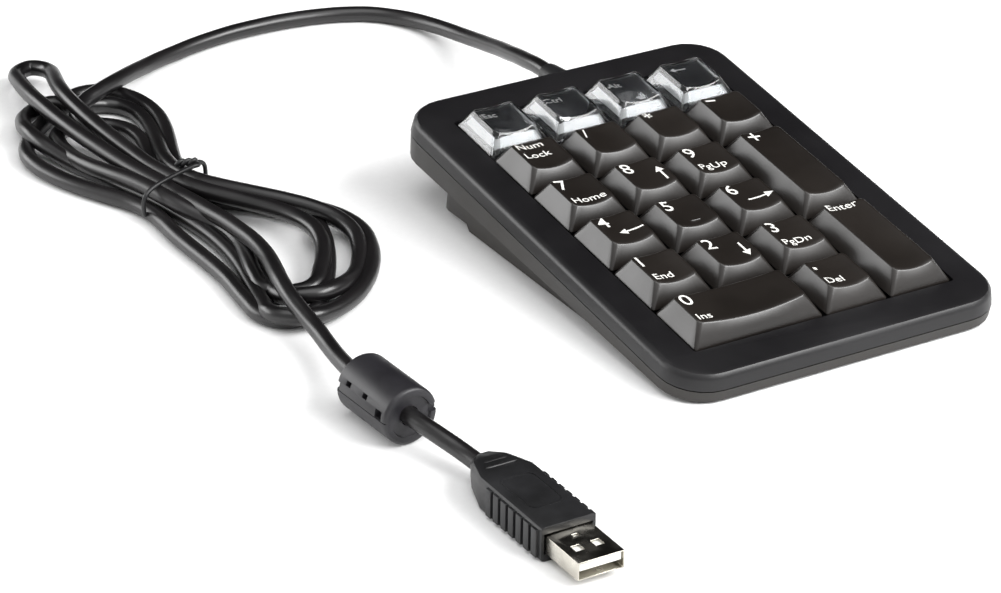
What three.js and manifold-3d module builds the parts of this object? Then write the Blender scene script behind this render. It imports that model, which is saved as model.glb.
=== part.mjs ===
// Numeric keypad: a wedge-shaped desk keypad with 21 sprung keys and a corded USB plug.
// Millimetres, +Z up, +X across the key columns, +Y towards the edge that the cord leaves.
// The origin is under the middle of the keypad, on the surface that it stands on.
import * as THREE from "three";
import { mergeVertices } from "three/addons/utils/BufferGeometryUtils.js";
import Module from "manifold-3d";

const wasm = await Module();
wasm.setup();

// ---------------------------------------------------------------- driving dimensions
const gap = 0.3; // clearance between pieces that touch
const tilt = THREE.MathUtils.degToRad(7); // slope of the key field

// The keypad's own frame: z = 0 is the top face of the bezel, y = 0 the front edge, x = 0 the middle.
const caseWidth = 95.8;
const caseLength = 138.6;
const caseCorner = 11.5;
const edgeRadius = 2;
const edgeInset = 2.45; // from the bezel's flat top out to the widest line of the case
const bezelThickness = 1.6;
const partingZ = -4.3; // lower edge of the top housing
const partingGroove = 0.35;
const wall = 2.2; // of the bottom housing
const topWall = 2.6; // of the top housing
const floorThickness = 1.1;
const bottomFrontZ = -7.85; // underside of the bottom housing at its front edge
const bottomSlope = 0.029; // and how much deeper it gets for each millimetre to the rear
const tableFrontDepth = 8; // the table's depth under the bezel at y = 0

const riserWidth = 86.4;
const riserFront = 10;
const riserRear = 121.4;
const riserClear = 0.6; // riser to table
const riserStep = 2.2; // the same under its raised rear lip
const riserStepY = 106;
const riserFloor = 2;
const riserCorner = 5;
const boardPosts = { x: [-37, 37], y: [28, 62, 100], radius: 3 };

const pitch = 19.05; // one key unit
const fieldFront = 11.27; // front edge of the key field
const fieldColumns = 4;
const fieldRows = 6;
const keyGap = 0.85; // between neighbouring keys at their skirts
const keyBaseZ = -0.5;
const keyTopZ = 4.6;
const keySideInset = 3.3; // skirt to top face, left and right
const keyFrontInset = 4.25;
const keyRearInset = 2.12;
const keyCornerRadius = 0.9;
const keyWall = 1.2;
const keyCeilingZ = 2.5;
const dishSag = 0.8;
const wideDishSag = 1;
const barLength = 3; // of the homing bar on the 5 key
const barRadius = 0.3;
const barY = -3.2; // from the middle of the key

const stemSize = 4.6;
const stemBottomZ = -2.7;
const stemFlange = { halfWidth: 3.6, thickness: 1.1 };
const coverWall = 1;
const insertSkin = 0.9;
const insertBottomZ = 0.6;

const skirtWall = 1.2; // round the key opening, inside the top housing
const skirtDepth = 3.2;
const plateTopZ = -3.7;
const plateThickness = 0.8;
const switchTopZ = -1.9;
const switchBase = 13.8;
const switchTop = 10;
const switchHole = 5.4;

const boardEdges = { x: 43, front: 9, rear: 128 };
const boardTopZ = -4.8;
const boardThickness = 1.2;
const boardHole = 3.6; // radius of the hole under each switch
const chipPlace = [-12, 84];
const chipSize = 12;
const chipHeight = 1.4;

const footRadius = 5;
const footHeight = 1.5;
const footX = 32;
const footFrontY = 19;
const footRearY = 97;

const cordDiameter = 4.4;
const cordExitX = 4;
const cordExitZ = -6.8;
const cordHoleRadius = 3.2;
const reliefLength = 9;
const reliefFlange = 1.6;
const reliefFlangeOut = 0.6; // flange beyond the neck

const hankHeight = 9.5;
const tieWire = 1.2;
const tieHeight = 11;
const tieCentre = new THREE.Vector2(-101.5, 88.5);
const tieSpan = 30;
const tieAngle = THREE.MathUtils.degToRad(22);

const plugX = -105.3;
const plugZ = 4.4; // middle height of the plug as it lies
const mouldRearY = -73;
const mouldTaperY = -83;
const mouldFrontY = -109.6;
const mouldWidth = 14.2;
const mouldHeight = 8.8;
const ribCount = 7;
const ribPitch = 3.25;
const ribOut = 0.7;
const ribWidth = 2.1;
const ribHeights = [-3.5, 3.5]; // from the plug's middle height
const shellWidth = 12;
const shellHeight = 4.5;
const shellSheet = 0.3;
const shellFrontY = -123.3;
const shellSocket = 4.7;
const tongueHeight = 1.85;

const sleeveFront = new THREE.Vector2(-110.8, -49.6);
const sleeveTurn = THREE.MathUtils.degToRad(3.1);
const sleeveLength = 22.4;
const sleeveRadius = 7.4;
const sleeveBore = 2.6;
const sleeveChamfer = 1.1;

// Keys as name, column, row, width and depth in units. Row 0 is at the rear.
const keys = [
  ["esc", 0, 0, 1, 1],
  ["ctrl", 1, 0, 1, 1],
  ["alt", 2, 0, 1, 1],
  ["backspace", 3, 0, 1, 1],
  ["num_lock", 0, 1, 1, 1],
  ["divide", 1, 1, 1, 1],
  ["multiply", 2, 1, 1, 1],
  ["minus", 3, 1, 1, 1],
  ["7", 0, 2, 1, 1],
  ["8", 1, 2, 1, 1],
  ["9", 2, 2, 1, 1],
  ["plus", 3, 2, 1, 2],
  ["4", 0, 3, 1, 1],
  ["5", 1, 3, 1, 1],
  ["6", 2, 3, 1, 1],
  ["1", 0, 4, 1, 1],
  ["2", 1, 4, 1, 1],
  ["3", 2, 4, 1, 1],
  ["enter", 3, 4, 1, 2],
  ["0", 0, 5, 2, 1],
  ["decimal", 2, 5, 1, 1],
];

// The cord's route from the end of the strain relief to the hank, and from the hank to the plug.
const leadRoute = [
  [5, 88.5, 17.9],
  [5.9, 95, 16.3],
  [7.6, 108, 13],
  [10.2, 122.8, 9.3],
  [12, 136.9, 5.9],
  [12.4, 148.5, 3.5],
  [10.8, 156.8, 2.5],
  [7.2, 163, 2.3],
  [3.2, 166.8, 2.3],
  [-6.7, 172.1, 2.3],
  [-17.6, 175.8, 2.3],
  [-30.1, 176.5, 2.3],
  [-43.7, 174.7, 2.3],
  [-55.5, 172.2, 2.3],
  [-66.4, 168.7, 2.3],
  [-75.5, 164.9, 2.5],
  [-81.4, 161.9, 2.9],
];
const tailRoute = [
  [-106.6, 2.7, 4.2],
  [-108.3, -5.1, 5.2],
  [-110.3, -13.8, 6.3],
  [-111.8, -21.5, 7.2],
  [-112.1, -25.5, 7.4],
  [-111.4, -38.5, 7.4],
  [-110.7, -51.5, 7.4],
  [-109.3, -58.5, 6.9],
  [-107.2, -65, 5.6],
  [-105.9, -69.8, 4.6],
  [-105.6, -72.7, 4.4],
];
// Outline of the tied hank, seen from above.
const hankOutline = [
  [-99, 188],
  [-94.5, 180],
  [-92.5, 168],
  [-82.5, 158],
  [-80.5, 146],
  [-83, 130],
  [-87.5, 112],
  [-89, 99],
  [-87, 90],
  [-80, 82],
  [-69, 71],
  [-65.5, 57],
  [-69.5, 40],
  [-79, 22],
  [-92, 10.5],
  [-101, 4.7],
  [-109, 3.8],
  [-113.5, 10],
  [-113.5, 28],
  [-112.5, 70],
  [-114, 84],
  [-118.5, 100],
  [-125.5, 122],
  [-122, 138],
  [-115, 156],
  [-107.5, 166],
  [-105.5, 179],
];

// ---------------------------------------------------------------- materials
function material(color, roughness, metalness = 0) {
  return new THREE.MeshStandardMaterial({ color, roughness, metalness });
}
const finish = {
  housing: material(0x232124, 0.5),
  bottom: material(0x2b2927, 0.55),
  keycap: material(0x2a2724, 0.4),
  cover: material(0xc9ccd2, 0.08),
  insert: material(0xd1d1cf, 0.5),
  stem: material(0x6a4a32, 0.5),
  switches: material(0x1b1b1d, 0.55),
  board: material(0x1f5a38, 0.5),
  chip: material(0x141414, 0.6),
  rubber: material(0x171717, 0.85),
  cord: material(0x1d1c1d, 0.5),
  tie: material(0x151515, 0.6),
  sleeve: material(0x242327, 0.45),
  mould: material(0x161617, 0.5),
  shell: material(0xc8c4ba, 0.22, 1),
  tongue: material(0xf0efe9, 0.5),
};

// ---------------------------------------------------------------- solids
// A closed three.js geometry as a solid that can be cut and joined.
function solid(geometry) {
  const bare = geometry.clone();
  for (const name of Object.keys(bare.attributes)) {
    if (name !== "position") bare.deleteAttribute(name);
  }
  const merged = mergeVertices(bare, 1e-4);
  const mesh = new wasm.Mesh({
    numProp: 3,
    vertProperties: new Float32Array(merged.attributes.position.array),
    triVerts: new Uint32Array(merged.index.array),
  });
  return new wasm.Manifold(mesh);
}

function geometryOf(manifold) {
  const mesh = manifold.getMesh();
  const geometry = new THREE.BufferGeometry();
  geometry.setAttribute("position", new THREE.BufferAttribute(mesh.vertProperties, 3));
  geometry.setIndex(new THREE.BufferAttribute(mesh.triVerts, 1));
  geometry.computeVertexNormals();
  return geometry;
}

function part(name, manifold, surface, parent, x = 0, y = 0, z = 0) {
  const mesh = new THREE.Mesh(geometryOf(manifold), surface);
  mesh.name = name;
  mesh.position.set(x, y, z);
  parent.add(mesh);
  return mesh;
}

function box(x0, x1, y0, y1, z0, z1) {
  const geometry = new THREE.BoxGeometry(x1 - x0, y1 - y0, z1 - z0);
  return solid(geometry.translate((x0 + x1) / 2, (y0 + y1) / 2, (z0 + z1) / 2));
}

// An upright cylinder from z0 to z1.
function post(x, y, radius, z0, z1, sides) {
  const geometry = new THREE.CylinderGeometry(radius, radius, z1 - z0, sides);
  return solid(geometry.rotateX(Math.PI / 2).translate(x, y, (z0 + z1) / 2));
}

// Points of a rounded rectangle from (x0, y0) to (x1, y1), anticlockwise; z may depend on y.
function roundedRing(x0, x1, y0, y1, radius, cornerSteps, z) {
  const height = typeof z === "function" ? z : () => z;
  const centres = [
    [x1 - radius, y0 + radius, -Math.PI / 2],
    [x1 - radius, y1 - radius, 0],
    [x0 + radius, y1 - radius, Math.PI / 2],
    [x0 + radius, y0 + radius, Math.PI],
  ];
  const ring = [];
  for (const [cx, cy, start] of centres) {
    for (let i = 0; i <= cornerSteps; i++) {
      const angle = start + (Math.PI / 2) * (i / cornerSteps);
      const x = cx + radius * Math.cos(angle);
      const y = cy + radius * Math.sin(angle);
      ring.push(new THREE.Vector3(x, y, height(y)));
    }
  }
  return ring;
}

// Skins rings of equally many points, listed upwards, and closes both ends.
function loft(rings) {
  const count = rings[0].length;
  const positions = rings.flat().flatMap((p) => [p.x, p.y, p.z]);
  const index = [];
  for (let k = 0; k + 1 < rings.length; k++) {
    for (let i = 0; i < count; i++) {
      const a = k * count + i;
      const b = k * count + ((i + 1) % count);
      index.push(a, b, b + count, a, b + count, a + count);
    }
  }
  const top = (rings.length - 1) * count;
  for (let i = 1; i + 1 < count; i++) {
    index.push(0, i + 1, i, top, top + i, top + i + 1);
  }
  const geometry = new THREE.BufferGeometry();
  geometry.setAttribute("position", new THREE.Float32BufferAttribute(positions, 3));
  geometry.setIndex(index);
  return solid(geometry);
}

// A flat outline in y and z, drawn out along x.
function sideProfile(points, x0, x1) {
  const shape = new THREE.Shape(points.map(([y, z]) => new THREE.Vector2(y, z)));
  const geometry = new THREE.ExtrudeGeometry(shape, { depth: x1 - x0, bevelEnabled: false });
  const turn = new THREE.Matrix4().makeBasis(
    new THREE.Vector3(0, 1, 0),
    new THREE.Vector3(0, 0, 1),
    new THREE.Vector3(1, 0, 0),
  );
  return solid(geometry.applyMatrix4(turn).translate(x0, 0, 0));
}

// A round bar along a smooth curve through the points.
function tube(points, diameter, steps, sides) {
  const curve = new THREE.CatmullRomCurve3(points, false, "centripetal");
  const circle = new THREE.Shape();
  for (let i = 0; i < sides; i++) {
    const angle = (2 * Math.PI * i) / sides;
    const x = (diameter / 2) * Math.cos(angle);
    const y = (diameter / 2) * Math.sin(angle);
    if (i === 0) circle.moveTo(x, y);
    else circle.lineTo(x, y);
  }
  return solid(new THREE.ExtrudeGeometry(circle, { steps, extrudePath: curve }));
}

// ---------------------------------------------------------------- housings
const half = caseWidth / 2;
const tableZ = (y) => -(tableFrontDepth + y * Math.tan(tilt));
const bottomZ = (y) => bottomFrontZ - bottomSlope * y;
const opening = {
  x: (fieldColumns * pitch) / 2 + 0.1,
  y0: fieldFront - 0.1,
  y1: fieldFront + fieldRows * pitch + 0.1,
};

// A ring of the case's plan, drawn in by inset.
function caseRing(inset, z) {
  const radius = Math.max(caseCorner - inset, 1);
  return roundedRing(inset - half, half - inset, inset, caseLength - inset, radius, 6, z);
}

function openingBlock(margin, z0, z1) {
  const radius = 0.8 + margin;
  const ring = (z) =>
    roundedRing(
      -opening.x - margin,
      opening.x + margin,
      opening.y0 - margin,
      opening.y1 + margin,
      radius,
      2,
      z,
    );
  return loft([ring(z0), ring(z1)]);
}

// The hole for the strain relief, half in each housing.
function cordHole() {
  const geometry = new THREE.CylinderGeometry(cordHoleRadius, cordHoleRadius, 12, 16);
  return solid(geometry.translate(cordExitX, caseLength, cordExitZ));
}

function topHousing() {
  const edge = [8, 30, 60, 90].map((degrees) => {
    const angle = THREE.MathUtils.degToRad(degrees);
    const inset = edgeInset - edgeRadius * Math.cos(angle);
    return caseRing(inset, edgeRadius * Math.sin(angle) - edgeRadius);
  });
  const outside = loft([caseRing(0, partingZ), ...edge]);
  const hollow = loft([caseRing(topWall, partingZ - 1), caseRing(topWall, -bezelThickness)]);
  const skirt = openingBlock(skirtWall, -skirtDepth, 1);
  return outside
    .subtract(hollow.subtract(skirt))
    .subtract(openingBlock(0, partingZ - 1, 1))
    .subtract(cordHole());
}

// The riser's side outline, shrunk by inset and with its floor raised by lift.
function riserBlock(inset, lift, top) {
  const y0 = riserFront + inset;
  const y1 = riserRear - inset;
  const low = (y) => tableZ(y) + riserClear + lift;
  const raised = (y) => tableZ(y) + riserStep + lift;
  const outline = [
    [y0, low(y0)],
    [riserStepY - inset, low(riserStepY - inset)],
    [riserStepY + 1.6 - inset, raised(riserStepY + 1.6)],
    [y1 - 1.2, raised(y1)],
    [y1, raised(y1) + 1.2],
    [y1, top],
    [y0, top],
  ];
  const x = riserWidth / 2 - inset;
  const plan = (z) => roundedRing(-x, x, y0, y1, Math.max(riserCorner - inset, 1.5), 4, z);
  return sideProfile(outline, -x - 1, x + 1).intersect(loft([plan(-30), plan(top + 1)]));
}

function bottomHousing() {
  const groove = partingZ - partingGroove;
  const outside = loft([
    caseRing(1.2, bottomZ),
    caseRing(0.35, (y) => bottomZ(y) + 0.5),
    caseRing(0.1, groove),
  ]);
  const tray = loft([caseRing(wall, (y) => bottomZ(y) + floorThickness), caseRing(wall, 1)]);
  const riserHollow = riserBlock(2, riserFloor, -5);
  let body = outside.add(riserBlock(0, 0, -7.5)).subtract(tray.add(riserHollow));
  const boardUnder = boardTopZ - boardThickness - gap;
  for (const x of boardPosts.x) {
    for (const y of boardPosts.y) {
      const foot = tableZ(y) + riserClear + 1;
      body = body.add(post(x, y, boardPosts.radius, foot, boardUnder, 12));
    }
  }
  for (const [x, y] of footPlaces) {
    const pocket = footDisc(footRadius + gap, footHeight + gap, 20);
    body = body.subtract(solid(onTable(pocket, x, y)));
  }
  return body.subtract(cordHole());
}

// ---------------------------------------------------------------- feet
const footPlaces = [
  [-footX, footFrontY],
  [footX, footFrontY],
  [-footX, footRearY],
  [footX, footRearY],
];

// A disc that stands on z = 0.
function footDisc(radius, height, sides) {
  const geometry = new THREE.CylinderGeometry(radius, radius, height, sides);
  return geometry.rotateX(Math.PI / 2).translate(0, 0, height / 2);
}

// Turns a geometry that stands on z = 0 so that it stands on the table under (x, y) of the keypad.
function onTable(geometry, x, y) {
  return geometry.rotateX(-tilt).translate(x, y, tableZ(y));
}

// ---------------------------------------------------------------- keys
// The skirt-to-top taper of a key that fills width by depth units, around its own centre.
function keyBlock(width, depth, inset, z0, z1) {
  const x = (width * pitch - keyGap) / 2 - inset;
  const y = (depth * pitch - keyGap) / 2 - inset;
  const ring = (z) => {
    const rise = (z - keyBaseZ) / (keyTopZ - keyBaseZ);
    const side = x - keySideInset * rise;
    const front = keyFrontInset * rise - y;
    const rear = y - keyRearInset * rise;
    return roundedRing(-side, side, front, rear, keyCornerRadius, 2, z);
  };
  return loft([ring(z0), ring(z1)]);
}

// What the concave top of a key takes away: everything over a wide arc that runs front to back.
function dishCutter(width, depth, drop) {
  const topHalf = (width * pitch - keyGap) / 2 - keySideInset;
  const sag = width > 1 ? wideDishSag : dishSag;
  const radius = (topHalf * topHalf + sag * sag) / (2 * sag);
  const reach = topHalf + 1.2;
  const steps = 10;
  const points = [];
  for (let i = 0; i <= steps; i++) {
    const x = -reach + (2 * reach * i) / steps;
    points.push([x, keyTopZ - sag - drop + radius - Math.sqrt(radius * radius - x * x)]);
  }
  const shape = new THREE.Shape();
  shape.moveTo(-reach, keyTopZ + 4);
  for (const [x, z] of points) shape.lineTo(x, z);
  shape.lineTo(reach, keyTopZ + 4);
  const length = depth * pitch;
  const geometry = new THREE.ExtrudeGeometry(shape, { depth: length, bevelEnabled: false });
  return solid(geometry.rotateX(Math.PI / 2).translate(0, length / 2, 0));
}

function keycap(width, depth) {
  return keyBlock(width, depth, 0, keyBaseZ, keyTopZ + 1)
    .subtract(dishCutter(width, depth, 0))
    .subtract(keyBlock(width, depth, keyWall, keyBaseZ - 1, keyCeilingZ));
}

// The raised bar that the middle finger finds on the 5 key.
function homingBar() {
  const bar = new THREE.CapsuleGeometry(barRadius, barLength, 2, 6);
  return solid(bar.rotateZ(Math.PI / 2).translate(0, barY, keyTopZ - dishSag));
}

function stem(top) {
  const s = stemSize / 2;
  const { halfWidth, thickness } = stemFlange;
  const flange = box(-halfWidth, halfWidth, -s, s, top - thickness, top);
  return box(-s, s, -s, s, stemBottomZ, top).add(flange);
}

// A clear cover, which lifts off so that the label under it can be changed.
function clearCover() {
  return keyBlock(1, 1, 0, keyBaseZ, keyTopZ + 1)
    .subtract(dishCutter(1, 1, 0))
    .subtract(keyBlock(1, 1, coverWall, keyBaseZ - 1, keyTopZ - dishSag - coverWall));
}

// The key body under a clear cover, in one piece with its stem.
function coverInsert() {
  const top = keyTopZ - dishSag - coverWall - gap;
  const outer = keyBlock(1, 1, coverWall + gap, insertBottomZ, top);
  const hollow = coverWall + gap + insertSkin;
  const inner = keyBlock(1, 1, hollow, insertBottomZ - 1, top - insertSkin);
  const s = stemSize / 2;
  return outer.subtract(inner).add(box(-s, s, -s, s, stemBottomZ, top - insertSkin / 2));
}

function keyCentre([, column, row, width, depth]) {
  const x = (column + width / 2 - fieldColumns / 2) * pitch;
  const y = fieldFront + (fieldRows - row - depth / 2) * pitch;
  return [x, y];
}

function addKeys(parent) {
  for (const key of keys) {
    const [name, , row, width, depth] = key;
    const [x, y] = keyCentre(key);
    if (row === 0) {
      part(`cover_${name}`, clearCover(), finish.cover, parent, x, y);
      part(`keycap_${name}`, coverInsert(), finish.insert, parent, x, y);
      continue;
    }
    let cap = keycap(width, depth);
    if (name === "5") cap = cap.add(homingBar());
    part(`keycap_${name}`, cap, finish.keycap, parent, x, y);
    part(`stem_${name}`, stem(keyCeilingZ - gap), finish.stem, parent, x, y);
  }
}

// ---------------------------------------------------------------- switches and board
function switchPlate() {
  const margin = 1;
  const plateBottom = plateTopZ - plateThickness;
  let body = box(
    -opening.x - margin,
    opening.x + margin,
    opening.y0 - margin,
    opening.y1 + margin,
    plateBottom,
    plateTopZ,
  );
  for (const key of keys) {
    const [x, y] = keyCentre(key);
    const low = switchBase / 2;
    const high = switchTop / 2;
    const ring = (size, z) => roundedRing(x - size, x + size, y - size, y + size, 0.6, 1, z);
    const hole = switchHole / 2;
    body = body
      .add(loft([ring(low, plateTopZ - 0.2), ring(low, plateTopZ + 0.1), ring(high, switchTopZ)]))
      .subtract(box(x - hole, x + hole, y - hole, y + hole, plateBottom - 1, 0));
  }
  return body;
}

function circuitBoard() {
  const z0 = boardTopZ - boardThickness;
  let body = box(-boardEdges.x, boardEdges.x, boardEdges.front, boardEdges.rear, z0, boardTopZ);
  for (const key of keys) {
    const [x, y] = keyCentre(key);
    body = body.subtract(post(x, y, boardHole, z0 - 1, boardTopZ + 1, 12));
  }
  return body;
}

function controllerChip() {
  const s = chipSize / 2;
  const top = boardTopZ - boardThickness - gap;
  return box(-s, s, -s, s, top - chipHeight, top);
}

// ---------------------------------------------------------------- cord
// A boot that tapers from the rear wall to the cord, with a neck and a flange inside the wall.
function strainRelief() {
  const neck = cordHoleRadius - gap;
  const inside = -topWall - gap;
  const profile = [
    [0, inside - reliefFlange],
    [neck + reliefFlangeOut, inside - reliefFlange],
    [neck + reliefFlangeOut, inside],
    [neck, inside],
    [neck, gap],
    [4.4, gap],
    [4.2, 2],
    [3.1, reliefLength - 1],
    [2.7, reliefLength],
    [0, reliefLength],
  ];
  const points = profile.map(([r, y]) => new THREE.Vector2(r, y));
  return solid(new THREE.LatheGeometry(points, 20));
}

const toVectors = (list) => list.map(([x, y, z]) => new THREE.Vector3(x, y, z));

function tieFrame(margin, z0) {
  const span = tieSpan / 2;
  const thick = tieWire / 2 + margin;
  const outer = box(-span - margin, span + margin, -thick, thick, z0, tieHeight + margin);
  const inner = box(
    -span + tieWire + margin,
    span - tieWire - margin,
    -thick - 1,
    thick + 1,
    tieWire + margin,
    tieHeight - tieWire - margin,
  );
  const turn = new THREE.Matrix4().makeRotationZ(tieAngle).setPosition(tieCentre.x, tieCentre.y, 0);
  const frame = geometryOf(outer.subtract(inner));
  return solid(frame.applyMatrix4(turn));
}

function hank() {
  const outline = new THREE.CatmullRomCurve3(
    hankOutline.map(([x, y]) => new THREE.Vector3(x, y, 0)),
    true,
    "centripetal",
  );
  const points = outline.getPoints(64).slice(0, -1);
  const shape = new THREE.Shape(points.map((p) => new THREE.Vector2(p.x, p.y)));
  const geometry = new THREE.ExtrudeGeometry(shape, { depth: hankHeight, bevelEnabled: false });
  return solid(geometry).subtract(tieFrame(gap, -1));
}

function ferriteSleeve() {
  const shoulder = sleeveRadius - sleeveChamfer;
  const profile = [
    [sleeveBore, 0],
    [shoulder, 0],
    [sleeveRadius, sleeveChamfer],
    [sleeveRadius, sleeveLength - sleeveChamfer],
    [shoulder, sleeveLength],
    [sleeveBore, sleeveLength],
    [sleeveBore, 0],
  ];
  const points = profile.map(([r, y]) => new THREE.Vector2(r, y));
  return solid(new THREE.LatheGeometry(points, 24));
}

// ---------------------------------------------------------------- plug
// A section of the moulded grip, standing across y.
function gripRing(width, height, radius, y) {
  return roundedRing(-width / 2, width / 2, -height / 2, height / 2, radius, 2, 0).map(
    (p) => new THREE.Vector3(p.x, y, p.y),
  );
}

function plugOvermould() {
  let body = loft([
    gripRing(7, 7.4, 2.4, mouldRearY),
    gripRing(10, 8.6, 1.8, mouldRearY - 3),
    gripRing(mouldWidth, mouldHeight, 1, mouldTaperY),
    gripRing(mouldWidth, mouldHeight, 1, mouldFrontY),
  ]);
  const side = mouldWidth / 2;
  for (let i = 0; i < ribCount; i++) {
    const y = mouldFrontY + 2.2 + i * ribPitch;
    const halfRib = ribWidth / 2;
    const rib = box(-side - ribOut, side + ribOut, y - halfRib, y + halfRib, ...ribHeights);
    body = body.add(rib);
  }
  const w = shellWidth / 2 + gap;
  const h = shellHeight / 2 + gap;
  return body.subtract(box(-w, w, mouldFrontY - 1, mouldFrontY + shellSocket + gap, -h, h));
}

// The folded sheet around the contacts: a box with its mouth open.
function plugShell() {
  const w = shellWidth / 2;
  const h = shellHeight / 2;
  const rear = mouldFrontY + shellSocket;
  const cavity = box(
    shellSheet - w,
    w - shellSheet,
    shellFrontY - 1,
    rear - shellSheet,
    shellSheet - h,
    h - shellSheet,
  );
  return box(-w, w, shellFrontY, rear, -h, h).subtract(cavity);
}

function plugTongue() {
  const w = shellWidth / 2 - shellSheet - gap;
  const top = shellHeight / 2 - shellSheet - gap;
  const rear = mouldFrontY + shellSocket - shellSheet - gap;
  return box(-w, w, shellFrontY + 0.5, rear, top - tongueHeight, top);
}

// ---------------------------------------------------------------- assembly
const keypad = new THREE.Group();
keypad.rotation.x = tilt;
part("top_housing", topHousing(), finish.housing, keypad);
part("bottom_housing", bottomHousing(), finish.bottom, keypad);
part("switch_plate", switchPlate(), finish.switches, keypad);
part("circuit_board", circuitBoard(), finish.board, keypad);
part("controller_chip", controllerChip(), finish.chip, keypad, ...chipPlace);
addKeys(keypad);

const feet = ["front_left", "front_right", "rear_left", "rear_right"];
footPlaces.forEach(([x, y], i) => {
  const disc = solid(footDisc(footRadius, footHeight, 20));
  const foot = part(`rubber_foot_${feet[i]}`, disc, finish.rubber, keypad, x, y, tableZ(y));
  foot.rotation.x = -tilt;
});
part("strain_relief", strainRelief(), finish.mould, keypad, cordExitX, caseLength, cordExitZ);

// Lowers the keypad onto the table and centres it over the origin.
keypad.position.z = tableFrontDepth * Math.cos(tilt);
const frontEdge = -partingZ * Math.sin(tilt);
const rearEdge = caseLength * Math.cos(tilt) + frontEdge;
keypad.position.y = -(frontEdge + rearEdge) / 2;
keypad.updateMatrixWorld(true);

const cord = new THREE.Group();
const leadStart = [0, 2].map((ahead) =>
  keypad.localToWorld(
    new THREE.Vector3(cordExitX, caseLength + reliefLength + gap + ahead, cordExitZ),
  ),
);
const leadPoints = [...leadStart, ...toVectors(leadRoute)];
part("cable_lead", tube(leadPoints, cordDiameter, 26, 8), finish.cord, cord);
part("cable_bundle", hank(), finish.cord, cord);
part("cable_tie", tieFrame(0, 0), finish.tie, cord);
part("cable_tail", tube(toVectors(tailRoute), cordDiameter, 18, 8), finish.cord, cord);
const sleeve = part("ferrite_sleeve", ferriteSleeve(), finish.sleeve, cord);
sleeve.position.set(sleeveFront.x, sleeveFront.y, sleeveRadius);
sleeve.rotation.z = sleeveTurn;
part("plug_overmould", plugOvermould(), finish.mould, cord, plugX, 0, plugZ);
part("plug_shell", plugShell(), finish.shell, cord, plugX, 0, plugZ);
part("plug_tongue", plugTongue(), finish.tongue, cord, plugX, 0, plugZ);

const numericKeypad = new THREE.Group();
numericKeypad.add(keypad, cord);
export default numericKeypad;
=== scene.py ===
import bpy, bmesh, math
from mathutils import Matrix, Vector


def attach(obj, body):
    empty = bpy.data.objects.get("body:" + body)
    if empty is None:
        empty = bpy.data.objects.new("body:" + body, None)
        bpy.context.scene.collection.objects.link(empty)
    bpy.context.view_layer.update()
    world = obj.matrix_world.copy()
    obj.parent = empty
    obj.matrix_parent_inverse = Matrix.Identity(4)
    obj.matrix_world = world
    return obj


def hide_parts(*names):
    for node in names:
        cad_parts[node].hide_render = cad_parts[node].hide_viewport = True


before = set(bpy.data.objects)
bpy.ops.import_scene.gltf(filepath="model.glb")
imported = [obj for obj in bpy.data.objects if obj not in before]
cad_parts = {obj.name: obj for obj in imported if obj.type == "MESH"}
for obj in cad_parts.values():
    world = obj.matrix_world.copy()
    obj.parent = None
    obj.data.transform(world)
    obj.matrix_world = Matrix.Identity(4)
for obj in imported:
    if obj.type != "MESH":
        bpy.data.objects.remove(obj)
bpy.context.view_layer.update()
mm = 0.001
print("frame loaded")

# the keypad leans 7 degrees; its own frame has z = 0 on the bezel and y = 0 at the front edge
tilt = math.radians(7)
lean = Matrix.Translation(Vector((0, -69.307, 7.940)) * mm) @ Matrix.Rotation(tilt, 4, "X")


def onCase(x, y, z):
    # a point of the keypad's own frame, in millimetres, moved to the shared frame, in metres
    return lean @ (Vector((x, y, z)) * mm)


# small tools
def linear(code, alpha=1.0):
    # an sRGB hex colour as linear light
    parts = [int(code[i:i + 2], 16) / 255 for i in (1, 3, 5)]
    return [p / 12.92 if p <= 0.04045 else ((p + 0.055) / 1.055) ** 2.4 for p in parts] + [alpha]


def newMaterial(name):
    material = bpy.data.materials.new(name)
    material.use_nodes = True
    return material, material.node_tree.nodes["Principled BSDF"]


def addNode(material, kind, settings={}, links={}):
    # adds one node; links are {input: (node, output)}, settings are values or socket defaults,
    # and "stops" are the places and tones of a ramp
    node = material.node_tree.nodes.new(kind)
    for key, value in settings.items():
        if key == "stops":
            for stop, (place, tone) in zip(node.color_ramp.elements, value):
                stop.position = place
                stop.color = tone
        elif key in node.inputs:
            node.inputs[key].default_value = value
        else:
            setattr(node, key, value)
    for key, (source, output) in links.items():
        material.node_tree.links.new(source.outputs[output], node.inputs[key])
    return node


def plug(material, node, output, shader, socket):
    material.node_tree.links.new(node.outputs[output], shader.inputs[socket])


def spread(low, high, places=(0.35, 0.65)):
    # the two stops of a ramp that spreads a pattern between two tones
    return {"stops": tuple(zip(places, (low, high)))}


def grey(value):
    return (value, value, value, 1)


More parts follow.
